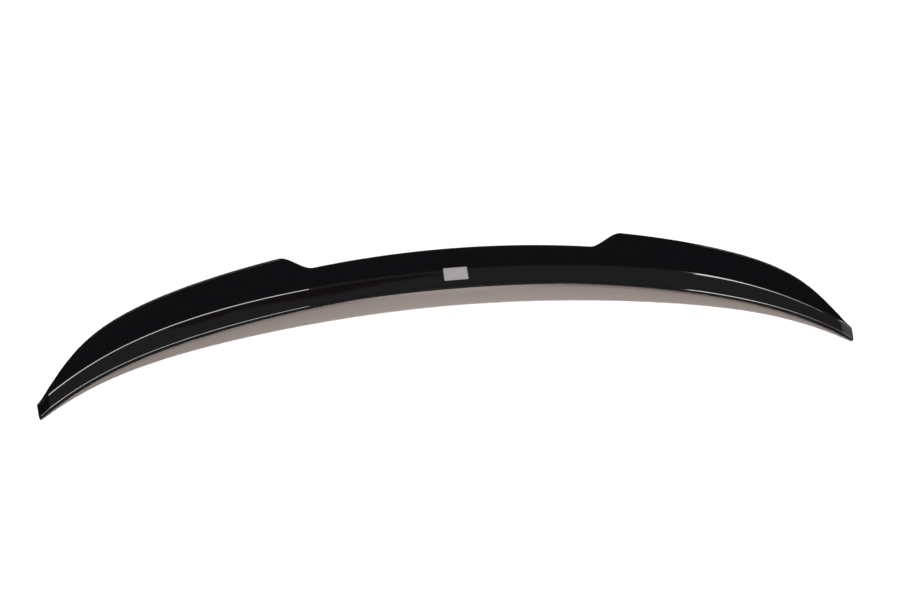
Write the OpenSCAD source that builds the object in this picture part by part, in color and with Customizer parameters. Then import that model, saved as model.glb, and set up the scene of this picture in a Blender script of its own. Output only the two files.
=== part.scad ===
// Rear lip spoiler for the boot lid of a car: one moulded open shell and a small blank sticker.
// From front to rear a section has a rolled leading edge, a flat ramp, a hollow crease, a steep
// kick face, a rounded lip and a rear face. The kick is low in the middle and steps up into a
// tall wing on each side, which runs out to a closed tip.
// It lies as it rests on a floor: on its two tips and on the lower rim of the rear face.
// +X runs across the car, +Y to its rear and +Z up. The origin is the centre of the box's base.

/* [Leading edge] */
// Half the span of the shell, from its middle to one tip
half_span = 600; // [520:5:680]
// How far the middle of the leading edge lies behind its two ends
bow = 168.5; // [120:0.5:220]
// Share of the bow that is a plain parabola; the rest turns the ends in
bow_share = 0.67; // [0.55:0.01:0.85]
// Height of the middle of the leading edge above its two ends
arch = 39.5; // [15:0.5:44]
// Height of those two ends above the floor
edge_rise = 0.6; // [0.2:0.1:2]
// Outer radius of the rolled leading edge
edge_r = 3.5; // [3.2:0.1:5]

/* [Ramp and crease] */
// Depth of the ramp in the middle, leading edge to crease
ramp_mid = 26.5; // [21:0.5:32]
// Depth of the ramp part way along each side
ramp_side = 32.5; // [26:0.5:40]
// Depth of the ramp at the tips
ramp_tip = 19; // [16:0.5:24]
// Slope of the ramp above the horizontal
ramp_angle = 22; // [16:1:30]
// Radius of the hollow crease between ramp and kick
crease_r = 7; // [3:0.5:10]

/* [Kick face and lip] */
// Slope of the kick face above the horizontal
kick_angle = 62; // [52:1:72]
// Length of the kick face in the middle, crease to lip
kick_mid = 36.5; // [32:0.5:50]
// Length of the kick face at the foot of the step
kick_foot = 32.5; // [28:0.5:44]
// Length of the kick face at the head of the step, where the wing is tallest
kick_head = 56.5; // [46:0.5:70]
// Length that the wing's kick face heads for at the tips, before it closes
kick_out = 40.5; // [34:0.5:56]
// Length of the kick face that is left at the very tips
kick_tip = 2.4; // [2:0.1:8]
// Distance from the middle to the foot of the step
step_foot = 225; // [180:1:250]
// Distance from the middle to the head of the step
step_head = 276; // [265:1:330]
// Outer radius of the rounded lip
lip_r = 3.2; // [3.2:0.1:5.5]

/* [Rear face] */
// Depth of the section at its base in the middle, leading edge to rear face
base_mid = 46; // [42:0.5:54]
// Depth of the section at its base part way along each side
base_side = 57; // [50:0.5:62]
// Depth of the section at its base at the tips
base_tip = 22; // [20:0.5:27]

/* [Shell] */
// Thickness of the moulded wall
wall = 3; // [2:0.1:3.2]
// Width of the bonding flange that turns in under the leading edge
flange_w = 14; // [8:0.5:16]
// Fall of the bonding flange to the rear, in the middle
flange_angle = 12; // [0:1:16]
// Length of each tip that is moulded solid, from the end of the hollow to the chamfer
tip_solid = 40; // [20:1:60]
// Length of the chamfer that closes each tip
tip_len = 13.5; // [6:0.5:16]
// Share of the height that is left at the end of the chamfer
tip_end = 0.77; // [0.3:0.01:0.85]
// How far the front corner of each tip swings in towards the middle
tip_sweep = 7.5; // [0:0.5:14]
// How much the tip's corners draw in, as a share of its depth
tip_pinch = 0.15; // [0:0.01:0.4]

/* [Sticker] */
// Width of the sticker
sticker_w = 39; // [24:1:60]
// Height of the sticker, measured along the surface that it follows
sticker_h = 23; // [12:0.5:24]
// Part of that height that reaches past the crease onto the kick face
sticker_fold = 1.8; // [0.2:0.1:4]
// Thickness of the sticker
sticker_t = 0.3; // [0.1:0.05:0.6]

/* [Hidden] */

// Where along each side the part-way depths are given, as a share of the half span
side_at = 0.6;
// How sharply the bow, the wings and the tip's swing turn in at the tips
bow_power = 9.5;
close_power = 21;
sweep_power = 4;
// Room left between the sticker and the ramp for its glue
glue = 0.05;
// Widest share of the base that the bonding flange takes where the section is short
flange_share = 0.45;
// The part of the lip's radius by which its rounding rises above the straight kick
lip_rise = 1.2;

// Steps along one side: middle, step, wing, solid tip
mid_steps = 12;
foot_steps = 9;
wing_steps = 17;
solid_steps = 2;
// Steps in the section's roundings
edge_steps = 7;
crease_steps = 4;
lip_steps = 8;
inner_steps = 4;
// Where the tip's chamfer starts and where the hollow ends, from the middle
tip_x = half_span - tip_len;
hollow_x = tip_x - tip_solid;
// The tip's chamfer: share of its length, share of its drop
tip_shape = [[0.08, 0.02], [0.18, 0.08], [0.88, 0.86], [0.96, 1], [1, 1.2]];

// A size that is given in the middle, part way along and at the tip, for any share u of the side
function along(mid, part, tip, u) =
    let (s = side_at * side_at)
    let (c = ((part - mid) - s * (tip - mid)) / (s * s - s))
    mid + (tip - mid - c) * u * u + c * pow(u, 4);

function share(x) = min(1, abs(x) / half_span);
function lead_y(u) = bow * (1 - bow_share * u * u - (1 - bow_share) * pow(u, bow_power));
function lead_z(u) = edge_rise + arch * (1 - u * u);
function blend(t) = t <= 0 ? 0 : t >= 1 ? 1 : t * t * (3 - 2 * t);

// Length of the kick face: the low middle, the tall wing and the step from one to the other
function kick_middle(x) = kick_mid + (kick_foot - kick_mid) * pow(min(1, x / step_foot), 2);
function kick_wing(x) =
    let (v = 1 - max(0, x - step_head) / (half_span - step_head))
    let (open = kick_out + (kick_head - kick_out) * v)
    kick_tip + (open - kick_tip) * pow(1 - pow(share(x), close_power), 2);
function kick(x) =
    let (t = blend((x - step_foot) / (step_head - step_foot)))
    (1 - t) * kick_middle(x) + t * kick_wing(x);

// A direction in the section's plane, and the points of an arc
function dir(a) = [cos(a), sin(a)];
function arc(c, r, a0, a1, n) = [for (i = [0 : n]) c + r * dir(a0 + (a1 - a0) * i / n)];

// The set points of the section at x, each as [depth behind the leading edge, height]
function edge_c(x) = [edge_r, lead_z(share(x)) + edge_r];
function ramp_start(x) = edge_c(x) + edge_r * dir(90 + ramp_angle);
function crease(x) =
    let (d = along(ramp_mid, ramp_side, ramp_tip, share(x)))
    let (s = ramp_start(x))
    [d, s[1] + (d - s[0]) * tan(ramp_angle)];
function lip_radius(x) = min(lip_r, kick(abs(x)) / 2);
function kick_flat(x) = kick(abs(x)) - lip_rise * lip_radius(x);
function kick_end(x) = crease(x) + kick_flat(x) * dir(kick_angle);
function lip_c(x) = kick_end(x) + lip_radius(x) * dir(kick_angle - 90);
function base_depth(x) = along(base_mid, base_side, base_tip, share(x));
// Slope of the rear face, so that it runs from the base to touch the lip's arc
function rear_angle(x) =
    let (v = lip_c(x) - [base_depth(x), 0])
    atan2(v[1], v[0]) - asin(lip_radius(x) / norm(v));
function flange_end(x) = min(edge_r + flange_w, flange_share * base_depth(x));
function flange_z(x, depth) =
    let (u = share(x))
    lead_z(u) - (depth - edge_r) * tan(flange_angle) * (1 - u * u);

// The rounding of the crease, and the same one a wall further in, taken from the kick to the ramp
function crease_reach(x) = min(crease_r * tan((kick_angle - ramp_angle) / 2), 0.8 * kick_flat(x));
function crease_radius(x) = crease_reach(x) / tan((kick_angle - ramp_angle) / 2);
function crease_c(x) =
    crease(x) - crease_reach(x) * dir(ramp_angle) + crease_radius(x) * dir(ramp_angle + 90);
function crease_arc(x) =
    arc(crease_c(x), crease_radius(x), ramp_angle - 90, kick_angle - 90, crease_steps);
function crease_arc_inside(x) =
    arc(crease_c(x), crease_radius(x) + wall, kick_angle - 90, ramp_angle - 90, crease_steps);

// Outer part of a section: flange's end, edge, ramp, crease, kick, lip, rear face and its rim
function outer_section(x) = concat(
    [[flange_end(x), flange_z(x, flange_end(x))]],
    arc(edge_c(x), edge_r, 270, 90 + ramp_angle, edge_steps),
    crease_arc(x),
    arc(lip_c(x), lip_radius(x), 90 + kick_angle, rear_angle(x) - 90, lip_steps),
    [[base_depth(x), 0], [base_depth(x) - wall / sin(rear_angle(x)), 0]]);

// Inner part, one wall inside the outer and back from the rim to the flange's end
function inner_section(x) =
    let (front = 2 * edge_r)
    let (f = flange_end(x))
    let (s = ramp_start(x) + wall * dir(ramp_angle - 90))
    let (r = max(0.2, lip_radius(x) - wall))
    concat(
        arc(lip_c(x), r, rear_angle(x) - 90, 90 + kick_angle, inner_steps),
        crease_arc_inside(x),
        [[front, s[1] + (front - s[0]) * tan(ramp_angle)]],
        [[front, flange_z(x, front) + wall]],
        [[f, flange_z(x, f) + wall]]);

// Steps from one place to another, the last place left out
function steps(from, to, n) = [for (i = [0 : n - 1]) from + (to - from) * i / n];

// Stations of the right half, as [x, share of the full height]: the hollow part from the middle out,
// then the solid tip
hollow_half = [
    for (x = steps(0, step_foot, mid_steps)) [x, 1],
    for (x = steps(step_foot, step_head, foot_steps)) [x, 1],
    for (x = steps(step_head, hollow_x, wing_steps)) [x, 1],
    [hollow_x, 1]];
solid_half = [
    for (i = [1 : solid_steps]) [hollow_x + (tip_x - hollow_x) * i / solid_steps, 1],
    for (t = tip_shape) [tip_x + t[0] * tip_len, 1 - t[1] * (1 - tip_end)]];
function mirrored(half) = [for (i = [len(half) - 1 : -1 : 0]) [-half[i][0], half[i][1]]];

// A section set in its place. Towards the tip its front swings in, and where the tip closes it is
// drawn down and narrower
function placed(station, outline) =
    let (x = station[0])
    let (h = station[1])
    let (pinch = 1 - tip_pinch * (1 - h))
    let (mid = base_tip / 2)
    let (turn = pow(max(0, abs(x) - step_head) / (half_span - step_head), sweep_power))
    let (swing = sign(x) * tip_sweep * turn)
    [for (p = outline) [
        x - swing * (1 - p[0] / base_tip),
        lead_y(share(x)) + mid + (p[0] - mid) * pinch,
        p[1] * h]];

// Rings of points along the whole shell: a tip, the hollow part and the other tip
hollow_stations = [for (s = mirrored(hollow_half)) if (s[0] < 0) s, each hollow_half];
tip_left = [for (s = mirrored(solid_half)) placed(s, outer_section(s[0]))];
tip_right = [for (s = solid_half) placed(s, outer_section(s[0]))];
open_rings = [for (s = hollow_stations) placed(s, concat(outer_section(s[0]), inner_section(s[0])))];

// Moves the leading edge's frame so that the origin is the centre of the box's base
all_y = [for (ring = concat(tip_left, open_rings, tip_right), p = ring) p[1]];
centre_y = (min(all_y) + max(all_y)) / 2;

// Two triangles for each side of the strip between a ring that starts at point a and one at b
function strip(a, b, n) = [
    for (j = [0 : n - 1], k = (j + 1) % n)
        each [[a + j, a + k, b + j], [b + j, a + k, b + k]]];
// A face over n points from a on, seen from its left or its right
function face_left(a, n) = [for (j = [n - 1 : -1 : 0]) a + j];
function face_right(a, n) = [for (j = [0 : n - 1]) a + j];

// A closed skin through rings that all have the same count of points
module loft(rings) {
    n = len(rings[0]);
    last = (len(rings) - 1) * n;
    polyhedron(
        points = [for (ring = rings) each ring],
        faces = concat(
            [face_left(0, n), face_right(last, n)],
            [for (i = [0 : n : last - n]) each strip(i, i + n, n)]));
}

// The moulded shell. Its hollow part has inner and outer points in each ring, and its solid tips
// have the outer ones only, so the end of the hollow is a face over the inner points
module spoiler_shell() {
    outer = len(tip_right[0]);
    full = len(open_rings[0]);
    tips = len(tip_right);
    first = tips * outer;
    last = first + (len(open_rings) - 1) * full;
    end = last + full;
    color([0.03, 0.03, 0.035])
        translate([0, -centre_y, 0])
            polyhedron(
                points = [for (ring = concat(tip_left, open_rings, tip_right)) each ring],
                faces = concat(
                    [face_left(0, outer)],
                    [for (i = [0 : tips - 1]) each strip(i * outer, (i + 1) * outer, outer)],
                    [concat([first], face_left(first + outer - 1, full - outer + 1))],
                    [for (i = [first : full : last - full]) each strip(i, i + full, full)],
                    [concat([last], face_right(last + outer - 1, full - outer + 1))],
                    strip(last, end, outer),
                    [for (i = [0 : tips - 2]) each strip(end + i * outer, end + (i + 1) * outer, outer)],
                    [face_right(end + (tips - 1) * outer, outer)]));
}

// The blank sticker, laid on the middle of the ramp and over the hollow of the crease
sticker_xs = [for (i = [-6 : 6]) sticker_w / 2 * i / 6];
// A line that stands off the surface, from the sticker's lower edge up to its upper one
function sticker_line(x, off) =
    let (around = crease_radius(x) * (kick_angle - ramp_angle) * PI / 180)
    let (below = crease_reach(x) + sticker_h - around - sticker_fold)
    let (above = crease_reach(x) + sticker_fold)
    concat(
        [crease(x) - below * dir(ramp_angle) + off * dir(ramp_angle + 90)],
        arc(crease_c(x), crease_radius(x) - off, ramp_angle - 90, kick_angle - 90, crease_steps),
        [crease(x) + above * dir(kick_angle) + off * dir(kick_angle + 90)]);
function sticker_section(x) =
    let (under = sticker_line(x, glue))
    concat(sticker_line(x, glue + sticker_t), [for (i = [len(under) - 1 : -1 : 0]) under[i]]);

module sticker() {
    color([0.62, 0.63, 0.64])
        translate([0, -centre_y, 0])
            loft([for (x = sticker_xs) placed([x, 1], sticker_section(x))]);
}

spoiler_shell();
sticker();
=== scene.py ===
# Looks of a car's rear lip spoiler: a gloss-black moulded shell with a small blank sticker.
# The shell is lofted here again, from the same sizes as the solid that it stands for, with many
# more stations and points, so that its gloss shows no facets. It also has what the solid lacks:
# an arch under the rear face, a rounded front corner at each tip, a tight front edge on the lip
# and softened corners.
import math

import bpy
import numpy as np
from mathutils import Matrix, Vector


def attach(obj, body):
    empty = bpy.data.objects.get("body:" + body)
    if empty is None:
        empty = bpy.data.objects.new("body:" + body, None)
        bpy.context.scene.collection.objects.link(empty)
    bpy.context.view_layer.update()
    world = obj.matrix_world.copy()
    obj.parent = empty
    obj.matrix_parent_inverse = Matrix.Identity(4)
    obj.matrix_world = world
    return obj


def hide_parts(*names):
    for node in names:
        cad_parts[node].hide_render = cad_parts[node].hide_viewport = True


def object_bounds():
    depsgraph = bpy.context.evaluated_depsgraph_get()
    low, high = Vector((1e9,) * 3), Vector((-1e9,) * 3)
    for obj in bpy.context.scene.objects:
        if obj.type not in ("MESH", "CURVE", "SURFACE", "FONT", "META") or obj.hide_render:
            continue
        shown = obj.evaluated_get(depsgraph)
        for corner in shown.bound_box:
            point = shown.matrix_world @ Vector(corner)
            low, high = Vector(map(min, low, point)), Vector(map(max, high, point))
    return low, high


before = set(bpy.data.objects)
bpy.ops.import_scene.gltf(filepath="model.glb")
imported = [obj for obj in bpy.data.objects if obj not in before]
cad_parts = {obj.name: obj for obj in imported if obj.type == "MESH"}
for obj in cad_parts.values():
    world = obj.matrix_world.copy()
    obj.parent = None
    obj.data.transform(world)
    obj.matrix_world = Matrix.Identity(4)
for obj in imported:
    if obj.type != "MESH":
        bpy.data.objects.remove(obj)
cad_low, cad_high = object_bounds()

MM = 0.001
DEG = math.pi / 180
QUARTER = math.pi / 2

# The moulding: sizes are in millimetres, and slopes are above the horizontal
HALF_SPAN = 600

# Leading edge
BOW = 168.5  # how far its middle lies behind its ends
BOW_SHARE = 0.67  # share of the bow that is a plain parabola
BOW_POWER = 9.5  # how sharply the rest of the bow turns in at the tips
ARCH = 39.5  # how much higher its middle is than its ends
EDGE_RISE = 0.6  # height of those ends above the floor
EDGE_R = 3.5  # outer radius

# Depths of the ramp and of the section's base: in the middle, part way along and at the tips
RAMP_MID, RAMP_SIDE, RAMP_TIP = 26.5, 32.5, 19
BASE_MID, BASE_SIDE, BASE_TIP = 46, 57, 22
SIDE_AT = 0.6  # where part way along is, as a share of half the span

# Ramp and crease
RAMP_ANGLE = 22 * DEG
CREASE_R = 7
CREASE_SHARE = 0.8  # the most of the straight kick face that the crease's rounding takes

# Kick face
KICK_ANGLE = 62 * DEG
KICK_MID = 36.5  # its length in the middle
KICK_FOOT, KICK_HEAD = 32.5, 56.5  # at the foot and at the head of the step
KICK_OUT, KICK_TIP = 40.5, 2.4  # what the wing's heads for at the tips before it closes, and what is left
STEP_FOOT, STEP_HEAD = 225, 276  # where the step up to the wing starts and ends
CLOSE_POWER = 21  # how sharply the wing closes at the tips

# Lip
LIP_R = 3.2  # outer radius
LIP_RISE = 1.2  # how far its rounding rises above the straight kick face, in radii
LIP_INNER_MIN = 0.2  # least inner radius
LIP_EDGE = 0.22  # radius of its tight front edge, as a share of the outer radius
LIP_EDGE_END = 105 * DEG  # where round the lip the tight front edge ends

# Shell
WALL = 3
FLANGE_W = 14
FLANGE_SHARE = 0.45  # the most of the base that the flange takes where the section is short
FLANGE_ANGLE = 12 * DEG  # its fall to the rear, in the middle
RIM_RISE = 6  # height of the arch under the rear face, in the middle
RIM_REACH = 300  # how far the arch reaches to each side

# Tips
TIP_SOLID = 40  # length that is moulded solid, from the end of the hollow to the chamfer
TIP_LEN = 13.5  # length of the chamfer that closes the tip
TIP_END = 0.77  # share of the height that is left at the end of the chamfer
# The chamfer's line: share of its length, share of its drop
TIP_SHAPE = [(0, 0), (0.08, 0.02), (0.18, 0.08), (0.88, 0.86), (0.96, 1), (1, 1.2)]
TIP_SWEEP = 7.5  # how far the front of the tip swings in
SWEEP_POWER = 4  # how sharply it does so
TIP_PINCH = 0.15  # its depth shrinks by this share of what its height does
TIP_ROUND = 2.4  # reach of its rounded front corner along the span
TIP_CUT = 3.6  # how much of the depth that corner takes
TIP_X = HALF_SPAN - TIP_LEN
HOLLOW_X = TIP_X - TIP_SOLID

# Sticker
STICKER_W = 39
STICKER_H = 23  # along the surface that it follows
STICKER_FOLD = 1.8  # the part of that height that lies on the kick face
STICKER_T = 0.3
STICKER_R = 1.2  # radius of its corners
GLUE = 0.05  # room between the shell and the sticker

# How finely it is drawn: stations along one side, then points along a section
MIDDLE_STEPS, STEP_STEPS, WING_STEPS, SOLID_STEPS = 46, 40, 90, 12
ARC_STEPS, LIP_TOP_STEPS, CORNER_STEPS, STRAIGHT_STEPS = 14, 5, 3, 5
TIP_ROUNDS = 3  # how often the corners of the tip's chamfer are cut off
STICKER_ROWS, STICKER_COLUMNS = 60, 20
CORNER_R, CORNER_SHARE = 0.5, 0.3  # reach of a softened corner, and the most of a side that it takes
END_GAP, END_SHARE = 0.7, 0.08  # the same for the gap at each end of a straight stretch
SHELL_SMOOTH, STICKER_SMOOTH = 40 * DEG, 30 * DEG  # edges sharper than this stay sharp


def along(mid, part, tip, far):
    """A size that is given in the middle, part way along and at the tip."""
    part_at = SIDE_AT * SIDE_AT
    bend = ((part - mid) - part_at * (tip - mid)) / (part_at * part_at - part_at)
    return mid + (tip - mid - bend) * far * far + bend * far ** 4


def share(x):
    """How far out x is, as a share of half the span."""
    return min(1, abs(x) / HALF_SPAN)


def lead_y(far):
    """How far the leading edge lies behind its ends."""
    return BOW * (1 - BOW_SHARE * far * far - (1 - BOW_SHARE) * far ** BOW_POWER)


def lead_z(far):
    """Height of the leading edge above the floor."""
    return EDGE_RISE + ARCH * (1 - far * far)


def blend(t):
    """A smooth step from 0 to 1."""
    t = min(1, max(0, t))
    return t * t * (3 - 2 * t)


def kick(x):
    """Length of the kick face: the low middle, the tall wing and the step between them."""
    x = abs(x)
    middle = KICK_MID + (KICK_FOOT - KICK_MID) * min(1, x / STEP_FOOT) ** 2
    to_tip = 1 - max(0, x - STEP_HEAD) / (HALF_SPAN - STEP_HEAD)
    wing_open = KICK_OUT + (KICK_HEAD - KICK_OUT) * to_tip
    wing = KICK_TIP + (wing_open - KICK_TIP) * (1 - share(x) ** CLOSE_POWER) ** 2
    up_step = blend((x - STEP_FOOT) / (STEP_HEAD - STEP_FOOT))
    return (1 - up_step) * middle + up_step * wing


def flange_z(far, depth):
    """Height of the flange's underside at a depth behind the leading edge."""
    return lead_z(far) - (depth - EDGE_R) * math.tan(FLANGE_ANGLE) * (1 - far * far)


def rim_z(x):
    """Height of the rear face's foot above the floor."""
    return RIM_RISE * (1 - min(1, abs(x) / RIM_REACH) ** 2) ** 2


def direction(angle):
    """A direction in the section's plane, as depth and height."""
    return np.array([math.cos(angle), math.sin(angle)])


def arc(centre, radius, start, end, steps=ARC_STEPS):
    """Points of an arc from one angle to another."""
    return [centre + radius * direction(start + (end - start) * i / steps) for i in range(steps + 1)]


def corner(before, at, after):
    """A sharp corner softened by a small curve that stays on its two sides."""
    def back(to):
        gap = to - at
        return at + gap * min(CORNER_R / np.linalg.norm(gap), CORNER_SHARE)
    start, end = back(before), back(after)
    places = np.linspace(0, 1, CORNER_STEPS + 1)
    return [(1 - t) ** 2 * start + 2 * t * (1 - t) * at + t * t * end for t in places]


def straight(start, end):
    """Points between two ends, with one close to each, so that a flat face stays flat when shaded."""
    near = min(END_SHARE, END_GAP / np.linalg.norm(end - start))
    return [start + (end - start) * t for t in np.linspace(near, 1 - near, STRAIGHT_STEPS + 1)]


def lip_arc(centre, radius, rear):
    """The lip from the kick face to the rear face: a tight front edge, a flatter top, a round back."""
    start = QUARTER + KICK_ANGLE
    tight = LIP_EDGE * radius
    # The top's radius is the one with which the tight edge still touches the kick face
    turn = math.cos(start - LIP_EDGE_END)
    flat = (radius * (1 - math.sin(start)) - tight * (1 - turn)) / (turn - math.sin(start))
    flat_centre = centre + (radius - flat) * direction(QUARTER)
    tight_centre = flat_centre + (flat - tight) * direction(LIP_EDGE_END)
    front = arc(tight_centre, tight, start, LIP_EDGE_END)
    top = arc(flat_centre, flat, LIP_EDGE_END, QUARTER, LIP_TOP_STEPS)
    return front + top[1:] + arc(centre, radius, QUARTER, rear)[1:]


def ramp_line(x):
    """The section's front: the edge's centre, where the ramp starts, the crease's corner and reach,
    the lip's radius and the length of the straight kick face."""
    far = share(x)
    edge_centre = np.array([EDGE_R, lead_z(far) + EDGE_R])
    start = edge_centre + EDGE_R * direction(QUARTER + RAMP_ANGLE)
    depth = along(RAMP_MID, RAMP_SIDE, RAMP_TIP, far)
    crease = np.array([depth, start[1] + (depth - start[0]) * math.tan(RAMP_ANGLE)])
    lip_r = min(LIP_R, kick(x) / 2)
    flat = kick(x) - LIP_RISE * lip_r
    reach = min(CREASE_R * math.tan((KICK_ANGLE - RAMP_ANGLE) / 2), CREASE_SHARE * flat)
    return edge_centre, start, crease, reach, lip_r, flat


def crease_arc(crease, reach):
    """Centre and radius of the rounding that reaches a length to each side of the crease's corner."""
    radius = reach / math.tan((KICK_ANGLE - RAMP_ANGLE) / 2)
    return crease - reach * direction(RAMP_ANGLE) + radius * direction(RAMP_ANGLE + QUARTER), radius


def section(x):
    """Outline of the open section at x: outer points first, inner ones after, and how many are outer."""
    far = share(x)
    edge_centre, start, crease, reach, lip_r, flat = ramp_line(x)
    crease_centre, crease_r = crease_arc(crease, reach)
    lip_centre = crease + flat * direction(KICK_ANGLE) + lip_r * direction(KICK_ANGLE - QUARTER)
    lip_inner = max(LIP_INNER_MIN, lip_r - WALL)

    # The rear face runs up from the base to touch the lip's arc, and the arch shortens it
    base = along(BASE_MID, BASE_SIDE, BASE_TIP, far)
    to_lip = lip_centre - np.array([base, 0])
    rear = math.atan2(to_lip[1], to_lip[0]) - math.asin(lip_r / math.hypot(to_lip[0], to_lip[1]))
    rise = rim_z(x) / math.sin(rear) * direction(rear)
    rim_out = np.array([base, 0.0]) + rise
    rim_in = np.array([base - WALL / math.sin(rear), 0.0]) + rise

    # The room behind the leading edge, between the ramp and the flange
    under = start + WALL * direction(RAMP_ANGLE - QUARTER)
    front = 2 * EDGE_R
    front_top = np.array([front, under[1] + (front - under[0]) * math.tan(RAMP_ANGLE)])
    front_low = np.array([front, flange_z(far, front) + WALL])
    flange = min(EDGE_R + FLANGE_W, FLANGE_SHARE * base)
    flange_low = np.array([flange, flange_z(far, flange)])
    flange_top = np.array([flange, flange_z(far, flange) + WALL])

    edge = arc(edge_centre, EDGE_R, 3 * QUARTER, QUARTER + RAMP_ANGLE)
    bend = arc(crease_centre, crease_r, RAMP_ANGLE - QUARTER, KICK_ANGLE - QUARTER)
    lip = lip_arc(lip_centre, lip_r, rear - QUARTER)
    lip_in = arc(lip_centre, lip_inner, rear - QUARTER, QUARTER + KICK_ANGLE)
    bend_in = arc(crease_centre, crease_r + WALL, KICK_ANGLE - QUARTER, RAMP_ANGLE - QUARTER)
    outer = corner(flange_top, flange_low, edge[0])
    outer += edge + straight(edge[-1], bend[0])
    outer += bend + straight(bend[-1], lip[0])
    outer += lip + straight(lip[-1], rim_out)
    outer += corner(lip[-1], rim_out, rim_in) + corner(rim_out, rim_in, lip_in[0])
    inner = lip_in + bend_in
    inner += corner(bend_in[-1], front_top, front_low) + corner(front_top, front_low, flange_top)
    inner += corner(front_low, flange_top, flange_low)
    return np.array(outer + inner), len(outer)


def placed(x, height, outline):
    """A section set in its place, with a share of its height. Towards a tip its front swings in, and
    at the very end its front corner rounds off."""
    pinch = 1 - TIP_PINCH * (1 - height)
    mid = BASE_TIP / 2
    turn = max(0, (abs(x) - STEP_HEAD) / (HALF_SPAN - STEP_HEAD)) ** SWEEP_POWER
    swing = math.copysign(TIP_SWEEP * turn, x)
    near = min(1, max(0, (abs(x) - HALF_SPAN + TIP_ROUND) / TIP_ROUND))
    cut = TIP_CUT * (1 - math.sqrt(1 - near * near))
    depth = cut + outline[:, 0] * (1 - cut / BASE_TIP)
    xs = x - swing * (1 - depth / BASE_TIP)
    ys = lead_y(share(x)) + mid + (depth - mid) * pinch
    return np.column_stack([xs, ys, outline[:, 1] * height])


def softened(points, rounds):
    """A line of points whose corners are cut off, a quarter of each side at a time, so that it bends."""
    for _ in range(rounds):
        cut = [points[0]]
        for here, there in zip(points[:-1], points[1:]):
            cut += [0.75 * here + 0.25 * there, 0.25 * here + 0.75 * there]
        points = cut + [points[-1]]
    return points


def half_stations():
    """Stations of the right half: hollow ones as x, then solid ones as (x, share of the height)."""
    hollow = list(np.linspace(0, STEP_FOOT, MIDDLE_STEPS, endpoint=False))
    hollow += list(np.linspace(STEP_FOOT, STEP_HEAD, STEP_STEPS, endpoint=False))
    hollow += list(np.linspace(STEP_HEAD, HOLLOW_X, WING_STEPS + 1))
    solid = [(x, 1) for x in np.linspace(HOLLOW_X, TIP_X, SOLID_STEPS, endpoint=False)[1:]]
    closing = softened([np.array(point, float) for point in TIP_SHAPE], TIP_ROUNDS)
    solid += [(TIP_X + length * TIP_LEN, 1 - drop * (1 - TIP_END)) for length, drop in closing]
    return hollow, solid


def shell_rings():
    """Rings along the whole shell: the left tip's, the hollow part's and the right tip's."""
    hollow, solid = half_stations()
    outer_count = section(0)[1]
    right = [placed(x, height, section(x)[0][:outer_count]) for x, height in solid]
    left = [placed(-x, height, section(x)[0][:outer_count]) for x, height in reversed(solid)]
    stations = [-x for x in reversed(hollow[1:])] + hollow
    middle = [placed(x, 1, section(x)[0]) for x in stations]
    return left, middle, right, outer_count


def strip(ring, other, count):
    """Faces between two rings of points, given by the rings' first points and their count."""
    pairs = [(i, (i + 1) % count) for i in range(count)]
    return [(ring + i, ring + j, other + j, other + i) for i, j in pairs]


def added(name, data):
    """A new object in the scene."""
    thing = bpy.data.objects.new(name, data)
    bpy.context.collection.objects.link(thing)
    return thing


def mesh_object(name, points, faces, material, smooth_angle):
    """A smooth piece from points in millimetres."""
    mesh = bpy.data.meshes.new(name)
    mesh.from_pydata([tuple(point) for point in np.array(points) * MM], [], faces)
    mesh.validate()
    mesh.materials.append(material)
    mesh.shade_smooth()
    mesh.set_sharp_from_angle(angle=smooth_angle)
    return added(name, mesh)


def shell_piece(gloss, satin):
    """The moulded shell as one closed skin, gloss outside and satin inside, fitted to the solid's box.
    It also gives the shift along Y that fits it."""
    left, middle, right, outer = shell_rings()
    points = np.vstack(left + middle + right)
    shift_y = cad_high[1] / MM - points[:, 1].max()
    points[:, 1] += shift_y
    points[:, 2] *= min(1, cad_high[2] / MM / points[:, 2].max())
    full, tips = len(middle[0]), len(right)
    first = tips * outer
    last = first + (len(middle) - 1) * full
    end = last + full

    # The left tip: its end, its rings and the wall that closes the hollow
    faces = [tuple(range(outer - 1, -1, -1))]
    for i in range(tips):
        faces += strip(i * outer, (i + 1) * outer, outer)
    faces.append((first, *range(first + full - 1, first + outer - 2, -1)))

    hollow_from = len(faces)
    for i in range(first, last, full):
        faces += strip(i, i + full, full)
    hollow_to = len(faces)

    # The right tip: the same the other way round
    faces.append((last, *range(last + outer - 1, last + full)))
    faces += strip(last, end, outer)
    for i in range(tips - 1):
        faces += strip(end + i * outer, end + (i + 1) * outer, outer)
    faces.append(tuple(range(end + (tips - 1) * outer, end + tips * outer)))

    # The satin starts half way round the rim's inner corner, which ends the outer points
    satin_start = outer - 2
    piece = mesh_object("moulded_shell", points, faces, gloss, SHELL_SMOOTH)
    piece.data.materials.append(satin)
    for index in range(hollow_from, hollow_to):
        if (index - hollow_from) % full >= satin_start:
            piece.data.polygons[index].material_index = 1
    return piece, shift_y


def over_crease(x, level, off, shift_y):
    """A point off the surface, at a level along it up from the sticker's lower edge."""
    _, _, crease, reach, _, _ = ramp_line(x)
    centre, radius = crease_arc(crease, reach)
    around = radius * (KICK_ANGLE - RAMP_ANGLE)
    on_ramp = STICKER_H - around - STICKER_FOLD
    if level < on_ramp:
        spot = crease - (reach + on_ramp - level) * direction(RAMP_ANGLE)
        spot = spot + off * direction(RAMP_ANGLE + QUARTER)
    elif level < on_ramp + around:
        spot = centre + (radius - off) * direction(RAMP_ANGLE - QUARTER + (level - on_ramp) / radius)
    else:
        spot = crease + (reach + level - on_ramp - around) * direction(KICK_ANGLE)
        spot = spot + off * direction(KICK_ANGLE + QUARTER)
    return (x, lead_y(share(x)) + spot[0] + shift_y, spot[1])


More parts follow.
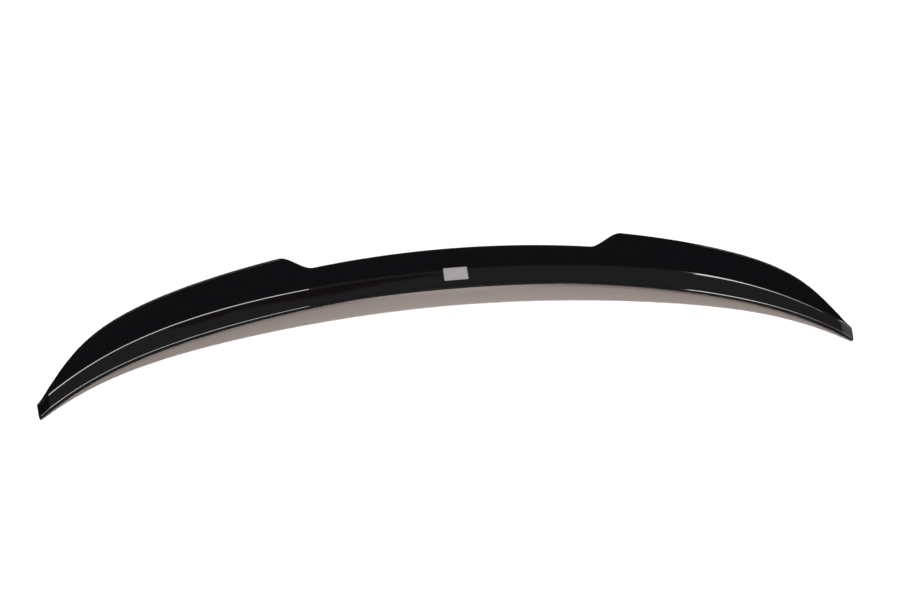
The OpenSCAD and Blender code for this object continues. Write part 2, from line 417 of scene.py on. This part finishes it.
def sticker_piece(film, shift_y):
    """The sticker: a thin film with rounded corners that follows the ramp and the crease."""
    rows, columns = STICKER_ROWS, STICKER_COLUMNS
    levels = [STICKER_H * (1 - math.cos(math.pi * i / rows)) / 2 for i in range(rows + 1)]
    points = []
    for off in (GLUE + STICKER_T, GLUE):
        for level in levels:
            short = max(0, STICKER_R - min(level, STICKER_H - level))
            half = STICKER_W / 2 - STICKER_R + math.sqrt(STICKER_R * STICKER_R - short * short)
            across = [half * (2 * i / columns - 1) for i in range(columns + 1)]
            points += [over_crease(x, level, off, shift_y) for x in across]

    # The points lie in two sheets of rows, the upper one first
    wide, under = columns + 1, (rows + 1) * (columns + 1)
    faces = []
    for row in range(0, rows * wide, wide):
        for at in range(row, row + columns):
            faces.append((at, at + 1, at + wide + 1, at + wide))
            faces.append((under + at, under + at + wide, under + at + wide + 1, under + at + 1))
        side = row + columns
        faces.append((row, row + wide, under + row + wide, under + row))
        faces.append((side, under + side, under + side + wide, side + wide))
    for foot in range(columns):
        head = rows * wide + foot
        faces.append((foot, under + foot, under + foot + 1, foot + 1))
        faces.append((head, head + 1, under + head + 1, under + head))
    return mesh_object("sticker_film", points, faces, film, STICKER_SMOOTH)


# Colours of the pieces and the floor
GLOSS_BLACK = (0.002, 0.002, 0.0023, 1)
SATIN_BLACK = (0.008, 0.008, 0.0085, 1)
SILVER_DIM, SILVER_PALE = (0.20, 0.20, 0.205, 1), (0.25, 0.25, 0.255, 1)
FLOOR_WHITE = (0.9, 0.9, 0.9, 1)

PLASTIC_IOR = 1.5
NOISE_LOW, NOISE_HIGH = 0.3, 0.7  # most of a noise's values lie between these


def new_material(name):
    """A new material, its nodes and links, and its shader."""
    material = bpy.data.materials.new(name)
    material.use_nodes = True
    nodes, links = material.node_tree.nodes, material.node_tree.links
    return material, nodes, links, nodes["Principled BSDF"]


def noise(nodes, links, scale, detail, stretch=(1, 1, 1)):
    """Noise on the object's own coordinates, in cells of about 1 / scale metres."""
    where = nodes.new("ShaderNodeTexCoord")
    mapping = nodes.new("ShaderNodeMapping")
    mapping.inputs["Scale"].default_value = stretch
    texture = nodes.new("ShaderNodeTexNoise")
    texture.inputs["Scale"].default_value = scale
    texture.inputs["Detail"].default_value = detail
    links.new(where.outputs["Object"], mapping.inputs["Vector"])
    links.new(mapping.outputs["Vector"], texture.inputs["Vector"])
    return texture.outputs["Fac"]


def roughened(nodes, links, shader, value, low, high):
    """Roughness that wanders between two values with a noise."""
    node = nodes.new("ShaderNodeMapRange")
    node.inputs["From Min"].default_value = NOISE_LOW
    node.inputs["From Max"].default_value = NOISE_HIGH
    node.inputs["To Min"].default_value = low
    node.inputs["To Max"].default_value = high
    links.new(value, node.inputs["Value"])
    links.new(node.outputs["Result"], shader.inputs["Roughness"])


def bumped(nodes, links, shader, value, strength, distance):
    """Bumps from a noise, with their height in metres."""
    bump = nodes.new("ShaderNodeBump")
    bump.inputs["Strength"].default_value = strength
    bump.inputs["Distance"].default_value = distance
    links.new(value, bump.inputs["Height"])
    links.new(bump.outputs["Normal"], shader.inputs["Normal"])


def coloured(nodes, links, value, stops):
    """A colour that follows a value through stops of place and colour, from the lowest up."""
    ramp = nodes.new("ShaderNodeValToRGB")
    steps = ramp.color_ramp.elements
    steps[0].position, steps[0].color = stops[0]
    steps[1].position, steps[1].color = stops[-1]
    for place, colour in stops[1:-1]:
        steps.new(place).color = colour
    links.new(value, ramp.inputs["Fac"])
    return ramp.outputs["Color"]


def gloss_black():
    """Polished black ABS: a deep gloss with a faint ripple and faint wiping marks."""
    material, nodes, links, shader = new_material("gloss_black")
    shader.inputs["Base Color"].default_value = GLOSS_BLACK
    shader.inputs["IOR"].default_value = PLASTIC_IOR
    marks = noise(nodes, links, scale=60, detail=4, stretch=(1, 0.25, 1))
    roughened(nodes, links, shader, marks, low=0.02, high=0.04)
    ripple = noise(nodes, links, scale=220, detail=1)
    bumped(nodes, links, shader, ripple, strength=0.02, distance=0.0002)
    return material


def satin_black():
    """The inside as it leaves the mould: satin, with a fine even grain."""
    material, nodes, links, shader = new_material("satin_black")
    shader.inputs["Base Color"].default_value = SATIN_BLACK
    grain = noise(nodes, links, scale=1500, detail=2)
    roughened(nodes, links, shader, grain, low=0.38, high=0.52)
    bumped(nodes, links, shader, grain, strength=0.3, distance=0.0001)
    return material


def silver_film():
    """Plain silver label film with a faint brushed tone."""
    material, nodes, links, shader = new_material("silver_film")
    brushed = noise(nodes, links, scale=900, detail=3, stretch=(0.15, 1, 1))
    tone = coloured(nodes, links, brushed, [(NOISE_LOW, SILVER_DIM), (NOISE_HIGH, SILVER_PALE)])
    links.new(tone, shader.inputs["Base Color"])
    roughened(nodes, links, shader, brushed, low=0.4, high=0.5)
    return material


# Camera, fitted to the left and right halves of the photograph's object. Its view is turned to the
# right and tilted down, and the origin lies ahead of it, to its right and below its line of sight.
LENS_PX, IMAGE_WIDTH_PX = 650, 900  # focal length and picture width in pixels
SENSOR_MM = 36
CAMERA_TURN, CAMERA_TILT = 7.75 * DEG, 38 * DEG
ORIGIN_AHEAD, ORIGIN_RIGHT, ORIGIN_BELOW = 1.0238, 0.02003, 0.04972  # metres
CLIP_NEAR, CLIP_FAR = 0.05, 100

# The studio, in metres: the fills' colour, the side light's place and aim, and the floor's reach
WARM = (1, 0.84, 0.75)
SIDE_LIGHT, SIDE_LIGHT_AIM = (0.35, -0.9, 0.7), (0.15, 0.1, 0)
FLOOR_REACH = 12

# The room that the gloss mirrors, by height, from straight below, 0, to straight above, 1
ROOM = [
    (0.2, (0.16, 0.135, 0.125, 1)),
    (0.3, (0.5, 0.49, 0.48, 1)),
    (0.46, (0.6, 0.59, 0.58, 1)),
    (0.51, (0.062, 0.06, 0.075, 1)),
    (0.72, (0.062, 0.06, 0.075, 1)),
    (0.9, (0.2, 0.2, 0.2, 1)),
    (1, (0.25, 0.25, 0.25, 1)),
]

# Panels that only the gloss mirrors: name, height, colour and corners in plan, in metres
PANEL_Z, CEILING_Z = 0.6, 2.5
PANELS = [
    ("softbox_left", PANEL_Z, (15, 15, 15),
     [(-0.575, -0.25), (-0.238, -0.25), (-0.258, -0.07), (-0.45, -0.05), (-0.575, -0.09)]),
    ("softbox_right", PANEL_Z, (17, 17, 17),
     [(0.7, -0.68), (0.7, -0.24), (0.66, -0.2), (0.6, -0.14), (0.575, -0.17), (0.569, -0.2),
      (0.553, -0.3), (0.534, -0.5), (0.524, -0.68)]),
    ("flag_left", PANEL_Z, (0.04, 0.03, 0.02),
     [(-1.4, -0.5), (-0.7, -0.5), (-0.7, 0.3), (-1.4, 0.3)]),
    ("card_right", PANEL_Z, (1.1, 1.1, 1.1),
     [(0.84, -0.3), (1.3, -0.3), (1.3, 0.2), (0.84, 0.2)]),
    ("beam_dark", CEILING_Z, (0.1, 0.05, 0.05),
     [(-1.3, 0.9), (-1.3, 0.2), (-1.05, 0.31), (-0.83, 0.395), (-0.68, 0.42), (-0.35, 0.45),
      (-0.03, 0.495), (0.32, 0.52), (0.32, 0.9)]),
]


def make_camera():
    """The photograph's camera."""
    cos_tilt, sin_tilt = math.cos(CAMERA_TILT), math.sin(CAMERA_TILT)
    cos_turn, sin_turn = math.cos(CAMERA_TURN), math.sin(CAMERA_TURN)
    right = Vector((cos_turn, -sin_turn, 0))
    forward = Vector((sin_turn * cos_tilt, cos_turn * cos_tilt, -sin_tilt))
    up = Vector((sin_turn * sin_tilt, cos_turn * sin_tilt, cos_tilt))
    data = bpy.data.cameras.new("camera")
    data.sensor_width = SENSOR_MM
    data.lens = LENS_PX / IMAGE_WIDTH_PX * SENSOR_MM
    data.clip_start, data.clip_end = CLIP_NEAR, CLIP_FAR
    camera = added("camera", data)
    place = -ORIGIN_AHEAD * forward - ORIGIN_RIGHT * right + ORIGIN_BELOW * up
    facing = Matrix((right, up, -forward)).transposed().to_4x4()
    camera.matrix_world = Matrix.Translation(place) @ facing
    bpy.context.scene.camera = camera
    return camera


def glow(name, height, colour, corners):
    """A flat panel that only the gloss mirrors."""
    mesh = bpy.data.meshes.new(name)
    mesh.from_pydata([(x, y, height) for x, y in corners], [], [tuple(range(len(corners)))])
    material, nodes, links, _ = new_material(name)
    nodes.clear()
    light = nodes.new("ShaderNodeEmission")
    light.inputs["Color"].default_value = (*colour, 1)
    out = nodes.new("ShaderNodeOutputMaterial")
    links.new(light.outputs["Emission"], out.inputs["Surface"])
    mesh.materials.append(material)
    piece = added(name, mesh)
    piece.visible_camera = False
    piece.visible_diffuse = False
    piece.visible_transmission = False
    piece.visible_shadow = False


def sun(name, strength, softness, lean_to_right, lean_to_front):
    """A soft white sun for everything but reflections, leaning from straight overhead."""
    data = bpy.data.lights.new(name, "SUN")
    data.energy = strength
    data.angle = softness
    lamp = added(name, data)
    lamp.rotation_euler = (lean_to_front, lean_to_right, 0)
    lamp.visible_glossy = False


def round_lamp(name, power, size, pose):
    """A warm, round soft light for everything but reflections, in a given pose."""
    data = bpy.data.lights.new(name, "AREA")
    data.shape = "DISK"
    data.energy = power
    data.color = WARM
    data.size = size
    lamp = added(name, data)
    lamp.matrix_world = pose
    lamp.visible_glossy = False
    lamp.visible_camera = False


def aimed(place, target):
    """A pose at a place that looks at a target."""
    turn = (Vector(target) - Vector(place)).to_track_quat("-Z", "Y")
    return Matrix.Translation(place) @ turn.to_matrix().to_4x4()


def make_floor():
    """A matt white floor that the gloss doesn't mirror."""
    reach = FLOOR_REACH
    mesh = bpy.data.meshes.new("floor")
    corners = [(-reach, -reach, 0), (reach, -reach, 0), (reach, reach, 0), (-reach, reach, 0)]
    mesh.from_pydata(corners, [], [(0, 1, 2, 3)])
    material, _, _, shader = new_material("floor_white")
    shader.inputs["Base Color"].default_value = FLOOR_WHITE
    shader.inputs["Roughness"].default_value = 1
    shader.inputs["Specular IOR Level"].default_value = 0
    mesh.materials.append(material)
    floor = added("floor", mesh)
    floor.visible_glossy = False


def make_surroundings():
    """White to the camera. To all else it is dark straight below, then a pale floor, dim walls and a
    grey ceiling."""
    world = bpy.data.worlds.new("surroundings")
    bpy.context.scene.world = world
    world.use_nodes = True
    nodes, links = world.node_tree.nodes, world.node_tree.links
    nodes.clear()
    where = nodes.new("ShaderNodeTexCoord")
    parts = nodes.new("ShaderNodeSeparateXYZ")
    links.new(where.outputs["Generated"], parts.inputs["Vector"])
    height = nodes.new("ShaderNodeMapRange")
    height.inputs["From Min"].default_value = -1
    links.new(parts.outputs["Z"], height.inputs["Value"])
    room = nodes.new("ShaderNodeBackground")
    links.new(coloured(nodes, links, height.outputs["Result"], ROOM), room.inputs["Color"])
    white = nodes.new("ShaderNodeBackground")
    white.inputs["Color"].default_value = (1, 1, 1, 1)
    path = nodes.new("ShaderNodeLightPath")
    mix = nodes.new("ShaderNodeMixShader")
    out = nodes.new("ShaderNodeOutputWorld")
    links.new(path.outputs["Is Camera Ray"], mix.inputs["Fac"])
    links.new(room.outputs["Background"], mix.inputs[1])
    links.new(white.outputs["Background"], mix.inputs[2])
    links.new(mix.outputs["Shader"], out.inputs["Surface"])


def make_studio(camera):
    """A white floor, a high key, two warm fills and the panels for the gloss."""
    make_floor()
    make_surroundings()
    sun("key_light", strength=3.3, softness=6 * DEG, lean_to_right=12 * DEG, lean_to_front=7 * DEG)
    round_lamp("fill_light", power=3.8, size=0.25, pose=camera.matrix_world)
    round_lamp("side_light", power=3.2, size=0.3, pose=aimed(SIDE_LIGHT, SIDE_LIGHT_AIM))
    for panel in PANELS:
        glow(*panel)


make_studio(make_camera())

shell, shift_y = shell_piece(gloss_black(), satin_black())
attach(shell, "root")
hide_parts("spoiler_shell")

sticker = sticker_piece(silver_film(), shift_y)
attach(sticker, "root")
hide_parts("sticker")

bpy.context.scene.view_settings.view_transform = "Standard"
